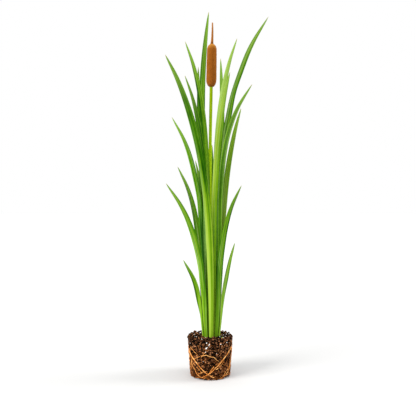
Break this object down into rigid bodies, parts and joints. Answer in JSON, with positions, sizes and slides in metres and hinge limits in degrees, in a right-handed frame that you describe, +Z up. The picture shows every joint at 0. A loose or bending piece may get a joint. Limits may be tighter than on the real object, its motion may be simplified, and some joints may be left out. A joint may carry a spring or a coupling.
{
  "type": "cattail plant with root ball",
  "caption": "Young cattail plant with arching strap leaves, a tall stalk carrying a brown velvety seed head and a thin spike, standing on its own pot-shaped root ball.",
  "frame": {"origin": "centre of the flat underside of the root ball, at the level of the surface it stands on", "axes": "+Z up along the stalk, -Y towards the side with the brightest front leaf, +X to the right of that side"},
  "size_m": [0.2056, 0.1426, 0.736],
  "materials": {
    "soil": "dark brown crumbly potting soil bound by fine roots, matte",
    "root": "orange-tan root, matte",
    "leaf": "mid green strap leaf with fine lengthwise veins, satin",
    "young_leaf": "lighter green young leaf, satin",
    "stalk": "smooth yellow-green stalk, satin",
    "seed_head": "dense brown velvet of tiny florets, matte",
    "flower_spike": "dry light brown spike, matte"
  },
  "bodies": {
    "root": {"root_ball": "soil", "main_root_1": "root", "main_root_2": "root", "main_root_3": "root", "main_root_4": "root", "outer_leaf_1": "leaf", "outer_leaf_2": "leaf", "outer_leaf_3": "leaf", "outer_leaf_4": "leaf", "outer_leaf_5": "leaf", "outer_leaf_6": "leaf", "outer_leaf_7": "leaf", "outer_leaf_8": "leaf", "outer_leaf_9": "leaf", "middle_leaf_1": "leaf", "middle_leaf_2": "leaf", "middle_leaf_3": "leaf", "middle_leaf_4": "leaf", "middle_leaf_5": "leaf", "middle_leaf_6": "leaf", "middle_leaf_7": "leaf", "inner_leaf_1": "young_leaf", "inner_leaf_2": "young_leaf", "inner_leaf_3": "young_leaf", "inner_leaf_4": "young_leaf", "stalk": "stalk", "seed_head": "seed_head", "flower_spike": "flower_spike"}
  },
  "joints": []
}
